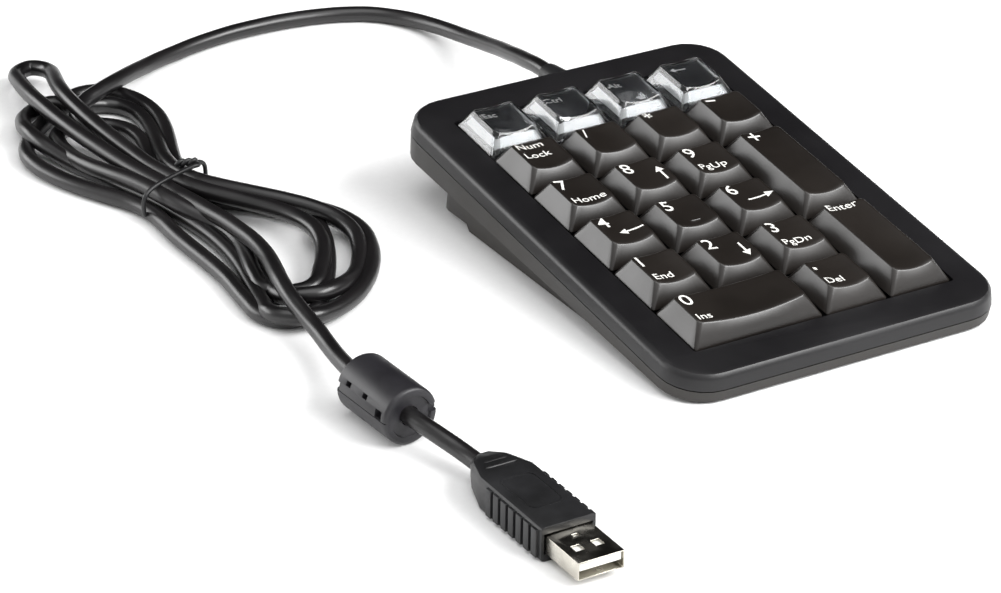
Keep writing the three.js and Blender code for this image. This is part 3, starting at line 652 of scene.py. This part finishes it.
# finishes of the pieces that keep their shape
finishTable = {
    # housing ABS: charcoal with a fine spark texture, catching light along the edge radius
    "housing": {"name": "moulded_abs_housing",
             "dark": "#0f0e10", "light": "#151416", "roughLow": 0.36, "roughHigh": 0.46,
                "grainSize": 0.55, "driftSize": 40, "grainStrength": 0.22, "grainDepth": 0.03},
    # base ABS: the same with a warmer, flatter tone
    "base": {"name": "moulded_abs_base",
          "dark": "#262422", "light": "#2f2c29", "roughLow": 0.45, "roughHigh": 0.58,
             "grainSize": 0.6, "driftSize": 40, "grainStrength": 0.25, "grainDepth": 0.03},
    # key body ABS: plain light satin that shows bright through the clear cover
    "insert": {"name": "moulded_abs_key_body",
            "dark": "#d2d3d3", "light": "#e2e2e0", "roughLow": 0.40, "roughHigh": 0.50,
               "grainSize": 0.5, "driftSize": 20, "grainStrength": 0.08, "grainDepth": 0.02},
    # stem acetal: waxy brown, a little glossier where the drift runs light
    "stem": {"name": "moulded_acetal_stem",
          "dark": "#5f4129", "light": "#74523a", "roughLow": 0.40, "roughHigh": 0.55,
             "grainSize": 0.4, "driftSize": 12, "grainStrength": 0.10, "grainDepth": 0.02},
    # switch nylon: dull black with a faint mottle
    "switch": {"name": "moulded_nylon_switch",
            "dark": "#18181a", "light": "#202022", "roughLow": 0.48, "roughHigh": 0.60,
               "grainSize": 0.4, "driftSize": 18, "grainStrength": 0.15, "grainDepth": 0.02},
    # chip epoxy: matt black with a fine grit
    "epoxy": {"name": "moulded_epoxy_chip",
           "dark": "#111111", "light": "#191919", "roughLow": 0.55, "roughHigh": 0.7,
              "grainSize": 0.2, "driftSize": 6, "grainStrength": 0.25, "grainDepth": 0.02},
    # foot rubber: dead matt and slightly grainy
    "rubber": {"name": "moulded_rubber_foot",
            "dark": "#131313", "light": "#1c1c1c", "roughLow": 0.75, "roughHigh": 0.9,
               "grainSize": 0.3, "driftSize": 8, "grainStrength": 0.30, "grainDepth": 0.03},
    # plug and boot PVC: soft black satin with a fine grain
    "grip": {"name": "moulded_pvc_grip",
          "dark": "#141415", "light": "#1d1d1f", "roughLow": 0.40, "roughHigh": 0.52,
             "grainSize": 0.5, "driftSize": 15, "grainStrength": 0.20, "grainDepth": 0.03},
    # sleeve nylon: dark grey satin, a shade lighter than the cord
    "sleeve": {"name": "moulded_nylon_sleeve",
            "dark": "#1a191c", "light": "#222125", "roughLow": 0.36, "roughHigh": 0.48,
               "grainSize": 0.5, "driftSize": 18, "grainStrength": 0.20, "grainDepth": 0.03},
    # contact tongue PBT: clean off-white, smooth
    "tongue": {"name": "moulded_pbt_tongue",
            "dark": "#e4e2da", "light": "#f0efe9", "roughLow": 0.40, "roughHigh": 0.50,
               "grainSize": 0.4, "driftSize": 6, "grainStrength": 0.05, "grainDepth": 0.01},
}
finish = {name: mouldedPlastic(look) for name, look in finishTable.items()}


boardLook = {"mask": "#1b4f31", "maskOverTrack": "#2a6b45", "rough": 0.35,
             "trackSpacing": 1.9635, "trackHeight": 0.04}
nickelLook = {"plate": "#bdb9af", "plateLight": "#d4d0c6", "roughLow": 0.16, "roughHigh": 0.30,
              "markSize": 0.4, "markDepth": 0.01, "smearSize": 5.5556}


def boardMaterial():
    # solder mask over copper: green lacquer with slightly raised tracks running across
    material, shader = newMaterial("green_solder_mask")
    where = addNode(material, "ShaderNodeTexCoord")
    tracks = addNode(material, "ShaderNodeTexWave",
                     {"Scale": 100 * math.pi / boardLook["trackSpacing"], "Distortion": 5, "Detail": 2,
                      "Detail Scale": 1.5},
                     {"Vector": (where, "Object")})  # at scale 1 a wave repeats every pi / 10
    tone = addNode(material, "ShaderNodeValToRGB",
                   spread(linear(boardLook["mask"]), linear(boardLook["maskOverTrack"]), (0.45, 0.55)),
                   {"Fac": (tracks, "Fac")})
    relief = addNode(material, "ShaderNodeBump",
                     {"Strength": 0.3, "Distance": boardLook["trackHeight"] * mm},
                     {"Height": (tracks, "Fac")})
    plug(material, tone, "Color", shader, "Base Color")
    plug(material, relief, "Normal", shader, "Normal")
    shader.inputs["Roughness"].default_value = boardLook["rough"]
    return material


def nickelMaterial():
    # bright nickel plate on folded steel: fine draw marks along the shell and faint fingerprints
    material, shader = newMaterial("nickel_plated_steel")
    where = addNode(material, "ShaderNodeTexCoord")
    stretch = addNode(material, "ShaderNodeMapping", {"Scale": (1, 0.08, 1)},
                      {"Vector": (where, "Object")})
    marks = addNode(material, "ShaderNodeTexNoise",
                    {"Scale": 1000 / nickelLook["markSize"], "Detail": 4},
                    {"Vector": (stretch, "Vector")})
    smear = addNode(material, "ShaderNodeTexNoise",
                    {"Scale": 1000 / nickelLook["smearSize"], "Detail": 5},
                    {"Vector": (where, "Object")})
    tone = addNode(material, "ShaderNodeValToRGB",
                   spread(linear(nickelLook["plate"]), linear(nickelLook["plateLight"])),
                   {"Fac": (smear, "Fac")})
    gloss = addNode(material, "ShaderNodeValToRGB",
                    spread(grey(nickelLook["roughLow"]), grey(nickelLook["roughHigh"])),
                    {"Fac": (smear, "Fac")})
    relief = addNode(material, "ShaderNodeBump",
                     {"Strength": 0.15, "Distance": nickelLook["markDepth"] * mm},
                     {"Height": (marks, "Fac")})
    plug(material, tone, "Color", shader, "Base Color")
    plug(material, gloss, "Color", shader, "Roughness")
    plug(material, relief, "Normal", shader, "Normal")
    shader.inputs["Metallic"].default_value = 1
    return material


finish["board"] = boardMaterial()
finish["nickel"] = nickelMaterial()


def keepNode(name, material, bevel, smoothAngle):
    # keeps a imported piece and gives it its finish; a smoothing angle of 0 leaves its faces flat
    piece = bpy.data.objects[name]
    piece.data.materials.clear()
    piece.data.materials.append(finish[material])
    if not smoothAngle:
        return
    piece.data.shade_smooth()
    weld = piece.modifiers.new("weld", "WELD")
    weld.merge_threshold = 0.002 * mm
    if bevel:
        tidy = piece.modifiers.new("tidy", "DECIMATE")
        tidy.decimate_type = "DISSOLVE"
        tidy.angle_limit = math.radians(2)
        rounded = piece.modifiers.new("rounded", "BEVEL")
        rounded.width = bevel * mm
        rounded.segments = 3
        rounded.limit_method = "ANGLE"
        rounded.angle_limit = math.radians(50)
    creases = piece.modifiers.new("creases", "EDGE_SPLIT")
    creases.split_angle = math.radians(smoothAngle)


# piece, finish, bevel in millimetres and smoothing angle
keepTable = [
    ("top_housing", "housing", 0, 30), ("bottom_housing", "base", 0, 30),
    ("switch_plate", "switch", 0, 0), ("circuit_board", "board", 0, 30),
    ("controller_chip", "epoxy", 0.1, 30), ("strain_relief", "grip", 0, 50),
    ("plug_overmould", "grip", 0.35, 40), ("plug_tongue", "tongue", 0.1, 30),
]
for row in keepTable:
    keepNode(*row)
for corner in ("front_left", "front_right", "rear_left", "rear_right"):
    keepNode("rubber_foot_" + corner, "rubber", 0.25, 40)
for key in keyTable:
    if key[2] == 0:
        keepNode("keycap_" + key[0], "insert", 0, 40)
    else:
        keepNode("stem_" + key[0], "stem", 0, 0)
print("finishes given")


# carved pieces
def boxMesh(low, high):
    points = [(x, y, z) for z in (low[2], high[2]) for y in (low[1], high[1]) for x in (low[0], high[0])]
    faces = [(0, 2, 3, 1), (4, 5, 7, 6), (0, 1, 5, 4), (2, 6, 7, 3), (0, 4, 6, 2), (1, 3, 7, 5)]
    return points, faces


def carve(piece, cutters, bevel, smoothAngle=35):
    # cuts closed shapes out of a piece, then rounds what is left of its sharp edges
    for number, cutter in enumerate(cutters):
        cut = piece.modifiers.new("cut%d" % number, "BOOLEAN")
        cut.object = cutter
        cut.operation = "DIFFERENCE"
        cut.solver = "EXACT"
    rounded = piece.modifiers.new("rounded", "BEVEL")
    rounded.width = bevel * mm
    rounded.segments = 2
    rounded.limit_method = "ANGLE"
    rounded.angle_limit = math.radians(40)
    bpy.context.view_layer.update()
    made = bpy.data.meshes.new_from_object(piece.evaluated_get(bpy.context.evaluated_depsgraph_get()))
    made.shade_smooth()
    made.set_sharp_from_angle(angle=math.radians(smoothAngle))
    piece.modifiers.clear()
    piece.data = made
    for cutter in cutters:
        bpy.data.objects.remove(cutter)
    return piece


# clamp-on ferrite sleeve
sleeveSize = {
    "front": (-110.8, -49.6, 7.4), "turn": 3.1, "length": 21.4, "radius": 7.3, "bore": 2.45,
    "round": 1.1, "faceRadius": 5.2, "faceDepth": 0.6, "seam": 0.22, "seamDepth": 0.5, "bevel": 0.08,
    # small openings as angle above the seam, distance from the front, width, length and depth
    "holes": [(24, 16.6, 1.3, 1.9, 1.4), (24, 9.6, 1.3, 1.9, 1.4), (10, 3.2, 2.2, 2.6, 1.6),
              (-34, 17.8, 1.0, 1.3, 1.0), (-34, 11.0, 1.0, 1.3, 1.0)],
    # notches at the seam's ends as depth, length and lowest and highest edge
    "rearNotch": (2.4, 1.6, 0.1, 2.1), "frontNotch": (2.4, 1.4, -0.1, 1.9),
}


def addSleeve():
    # a short drum in two halves, with latch openings along one side and notches at the seam's ends
    size = sleeveSize
    length, radius, bore = size["length"], size["radius"], size["bore"]
    profile = [(bore, size["faceDepth"]), (size["faceRadius"], size["faceDepth"]),
               (size["faceRadius"] + 0.2, 0.05)]
    for i in range(6):
        a = math.radians(90 * i / 5)
        profile.append((radius - size["round"] * (1 - math.sin(a)), size["round"] * (1 - math.cos(a))))
    profile += [(rr, length - y) for rr, y in reversed(profile)]
    steps = 72
    place = Matrix.Translation(Vector(size["front"])) @ Matrix.Rotation(math.radians(size["turn"]), 4, "Z")
    points = []
    for rr, y in profile:
        for k in range(steps):
            a = 2 * math.pi * k / steps
            points.append(place @ Vector((rr * math.cos(a), y, rr * math.sin(a))) * mm)
    count = len(profile)
    faces = [(a * steps + k, a * steps + (k + 1) % steps,
              (a + 1) % count * steps + (k + 1) % steps, (a + 1) % count * steps + k)
             for a in range(count) for k in range(steps)]
    drum = addMesh("ferrite_clamp", points, faces)
    boxes = []
    seam = size["seam"] / 2
    for side in (-1, 1):
        x = sorted((side * (radius - size["seamDepth"]), side * (radius + 1)))
        boxes.append((0, (x[0], -1, -seam), (x[1], length + 1, seam)))
    for angle, along, wide, long, deep in size["holes"]:
        boxes.append((angle, (-radius - 1, along - long / 2, -wide / 2),
                      (-radius + deep, along + long / 2, wide / 2)))
    deep, long, low, high = size["rearNotch"]
    boxes.append((0, (-radius - 1, length - long, low), (-radius + deep, length + 1, high)))
    deep, long, low, high = size["frontNotch"]
    boxes.append((0, (radius - deep, -1, low), (radius + 1, long, high)))
    cutters = []
    for number, (angle, low, high) in enumerate(boxes):
        corners, sides = boxMesh(low, high)
        turn = place @ Matrix.Rotation(math.radians(angle), 4, "Y")
        cutters.append(addMesh("cutter_%d" % number, [turn @ Vector(p) * mm for p in corners], sides))
    return carve(drum, cutters, size["bevel"])


sleeve = show(addSleeve(), finish["sleeve"], "case", "sleeve_plastic", "ferrite_sleeve")

# plug shell
shellSize = {"middle": (-105.3, 4.4), "windowX": 2.55, "windowY": -117.4, "window": (2.2, 2.4),
             "slotY": -112.4, "slot": (1.5, 1.0), "half": 2.25, "sheet": 0.3, "bevel": 0.12}


def addShell():
    # folded sheet with two latch windows and a small rear slot above and below
    packed = bpy.data.objects["plug_shell"]
    mesh = packed.data.copy()
    work = bmesh.new()
    work.from_mesh(mesh)
    bmesh.ops.remove_doubles(work, verts=work.verts, dist=0.002 * mm)
    bmesh.ops.dissolve_limit(work, angle_limit=math.radians(1), verts=work.verts, edges=work.edges)
    work.to_mesh(mesh)
    work.free()
    mesh.materials.clear()
    shell = bpy.data.objects.new("folded_shell", mesh)
    bpy.context.scene.collection.objects.link(shell)
    size = shellSize
    cx, cz = size["middle"]
    cutters = []
    spots = [(-size["windowX"], size["windowY"], size["window"]),
             (size["windowX"], size["windowY"], size["window"]), (0, size["slotY"], size["slot"])]
    for side in (-1, 1):
        z = sorted((cz + side * (size["half"] - size["sheet"] - 0.1), cz + side * (size["half"] + 0.5)))
        for x, y, (wide, long) in spots:
            corners, sides = boxMesh((cx + x - wide / 2, y - long / 2, z[0]),
                                     (cx + x + wide / 2, y + long / 2, z[1]))
            cutters.append(addMesh("cutter_window", [Vector(p) * mm for p in corners], sides))
    return carve(shell, cutters, size["bevel"], 50)


shell = show(addShell(), finish["nickel"], "case", "plug_metal", "plug_shell")

# raised grip on the plug's top
ridgeSize = {"x": -105.3, "rows": [(-75.6, 2.6, 8.25), (-78.0, 3.4, 8.5), (-80.5, 4.3, 8.66)],
             "radius": 0.5, "flatness": 0.7, "steps": 12, "around": 12,
             "frame": (4.6, -101.5, -86.5, 8.75), "frameCorner": 2.2, "frameWidth": 0.5,
             "frameHeight": 0.2}


def addRidge(number, y, half, z):
    # a rounded bar across the tapered end of the grip
    steps, around = ridgeSize["steps"], ridgeSize["around"]
    points = []
    for i in range(steps + 1):
        along = -1 + 2 * i / steps
        rr = ridgeSize["radius"] * math.sqrt(max(0.03, 1 - abs(along) ** 8))
        for k in range(around):
            a = 2 * math.pi * k / around
            points.append(Vector((ridgeSize["x"] + half * along, y + rr * math.cos(a),
                                  z + rr * math.sin(a) * ridgeSize["flatness"])) * mm)
    return addMesh("grip_ridge_%d" % number, points, loftFaces(steps + 1, around), 60)


def addFrame():
    # a plain rounded border, barely raised from the grip's flat top
    half, y0, y1, z = ridgeSize["frame"]
    x, w, h = ridgeSize["x"], ridgeSize["frameWidth"], ridgeSize["frameHeight"]
    corner = ridgeSize["frameCorner"]
    outer = roundedRect(x - half, x + half, y0, y1, corner)
    inner = roundedRect(x - half + w, x + half - w, y0 + w, y1 - w, corner - w)
    rings = [[(px, py, z) for px, py in outer], [(px, py, z + h) for px, py in outer],
             [(px, py, z + h) for px, py in inner], [(px, py, z) for px, py in inner]]
    size = len(outer)
    points = [Vector(p) * mm for ring in rings for p in ring]
    faces = [(a * size + i, a * size + (i + 1) % size,
              (a + 1) % 4 * size + (i + 1) % size, (a + 1) % 4 * size + i)
             for a in range(4) for i in range(size)]
    return addMesh("grip_border", points, faces, 40)


ridges = [addRidge(n, *row) for n, row in enumerate(ridgeSize["rows"], 1)] + [addFrame()]
for ridge in ridges:
    show(ridge, finish["grip"], "case", "grip_plastic")
print("plug and sleeve built")

# wire tie round the hank
tieLook = {"wire": 1.2, "centre": (-101.5, 88.5), "angle": 22, "halfSpan": 12.6, "low": 0.7, "high": 9.9,
           "start": 60, "sweep": 352, "steps": 28, "squareness": 0.6, "drift": 0.9,
           # the twisted ends: points on each, their spacing, turn between them, radius, way and droop
           "ends": 9, "spacing": 0.7, "turn": 1.25, "twistRadius": 0.55, "way": (-0.75, 0.62, -0.12),
           "droop": 0.05}


def tieRoute():
    # round the strands in an upright loop; the caller adds both ends twisted together on the far side
    cx, cy = tieLook["centre"]
    a = math.radians(tieLook["angle"])
    ux, uy = math.cos(a), math.sin(a)
    low, high, half = tieLook["low"], tieLook["high"], tieLook["halfSpan"]
    middle, rise = (low + high) / 2, (high - low) / 2
    points = []
    count, power = tieLook["steps"], tieLook["squareness"]
    for i in range(count + 1):
        t = math.radians(tieLook["start"] + tieLook["sweep"] * i / count)
        s = half * math.copysign(abs(math.cos(t)) ** power, math.cos(t))
        z = middle + rise * math.copysign(abs(math.sin(t)) ** power, math.sin(t))
        drift = tieLook["drift"] * (2 * i / count - 1)
        points.append((cx + ux * s - uy * drift, cy + uy * s + ux * drift, z))
    return points


def addTie():
    curve = bpy.data.curves.new("wire_tie", "CURVE")
    curve.dimensions = "3D"
    curve.bevel_depth = tieLook["wire"] * mm / 2
    curve.bevel_resolution = 3
    curve.resolution_u = 3
    curve.use_fill_caps = True
    loop = tieRoute()
    start, end = Vector(loop[0]), Vector(loop[-1])
    twistStart = (start + end) / 2 + Vector((0, 0, 0.5))
    outward = Vector(tieLook["way"]).normalized()
    side = outward.cross(Vector((0, 0, 1))).normalized()
    radius = tieLook["twistRadius"]
    tail, mirror = [], []
    for i in range(1, tieLook["ends"]):
        t = i * tieLook["spacing"]
        centre = twistStart + outward * t - Vector((0, 0, tieLook["droop"] * t))
        phase = i * tieLook["turn"]
        reach = side * radius * math.cos(phase) + Vector((0, 0, radius * math.sin(phase)))
        tail.append(centre + reach)
        mirror.append(centre - reach)
    points = list(reversed(mirror)) + [Vector(p) for p in loop] + tail
    spline = curve.splines.new("BEZIER")
    spline.bezier_points.add(len(points) - 1)
    for point, place in zip(spline.bezier_points, points):
        point.co = place * mm
        point.handle_left_type = point.handle_right_type = "AUTO"
    tie = bpy.data.objects.new("wire_tie", curve)
    bpy.context.scene.collection.objects.link(tie)
    return show(tie, finish["grip"], "case", "tie_plastic", "cable_tie")


tie = addTie()
print("tie wound")

# floor and light
stageLook = {"floor": "#f4f4f4", "floorTooth": "#f6f6f6", "floorHalf": 4, "toothSize": 1.6667,
             "room": 0.62, "darkWall": 0.01, "darkSide": (0.46, 0.66, 0.59), "wallEdge": (0.46, 0.70)}
# place, target and size in metres, and power in watts
softboxTable = {
    "front_softbox": ((0.60, -0.77, 0.86), (0, 0, 0.01), (1.1, 0.6), 24),
    "left_softbox": ((-0.85, 0.95, 0.33), (-0.05, 0, 0.01), (1.1, 0.5), 8.5),
    "top_softbox": ((-0.25, -0.25, 1.5), (0, 0, 0), (1.5, 1.5), 13),
}


def addFloor():
    mesh = bpy.data.meshes.new("floor")
    half = stageLook["floorHalf"]
    mesh.from_pydata([(-half, -half, 0), (half, -half, 0), (half, half, 0), (-half, half, 0)],
                     [], [(0, 1, 2, 3)])
    floor = bpy.data.objects.new("floor", mesh)
    bpy.context.scene.collection.objects.link(floor)
    material, shader = newMaterial("matt_white_paper")
    where = addNode(material, "ShaderNodeTexCoord")
    # matt paper, evenly pale, with a tooth too fine to notice
    tooth = addNode(material, "ShaderNodeTexNoise",
                    {"Scale": 1000 / stageLook["toothSize"], "Detail": 4},
                    {"Vector": (where, "Object")})
    tone = addNode(material, "ShaderNodeValToRGB",
                   spread(linear(stageLook["floorTooth"]), linear(stageLook["floor"])),
                   {"Fac": (tooth, "Fac")})
    plug(material, tone, "Color", shader, "Base Color")
    shader.inputs["Roughness"].default_value = 0.9
    shader.inputs["Specular IOR Level"].default_value = 0.1
    floor.data.materials.append(material)


def addSoftbox(name, place, target, size, power):
    data = bpy.data.lights.new(name, "AREA")
    data.shape = "RECTANGLE"
    data.size, data.size_y = size
    data.energy = power
    lamp = bpy.data.objects.new(name, data)
    lamp.location = place
    lamp.rotation_euler = (Vector(target) - Vector(place)).to_track_quat("-Z", "Y").to_euler()
    bpy.context.scene.collection.objects.link(lamp)


def lightRoom():
    world = bpy.data.worlds.new("studio")
    world.use_nodes = True
    # a light room with one dark wall behind and above the keypad, so that level faces stay dark
    where = addNode(world, "ShaderNodeTexCoord")
    facing = addNode(world, "ShaderNodeVectorMath", {"operation": "DOT_PRODUCT"},
                     {0: (where, "Generated")})
    facing.inputs[1].default_value = stageLook["darkSide"]
    wall = addNode(world, "ShaderNodeValToRGB",
                   spread(grey(stageLook["room"]), grey(stageLook["darkWall"]), stageLook["wallEdge"]),
                   {"Fac": (facing, "Value")})
    plug(world, wall, "Color", world.node_tree.nodes["Background"], "Color")
    bpy.context.scene.world = world
    bpy.context.scene.view_settings.view_transform = "Standard"


lightRoom()
addFloor()
for name, row in softboxTable.items():
    addSoftbox(name, *row)
print("lights placed")
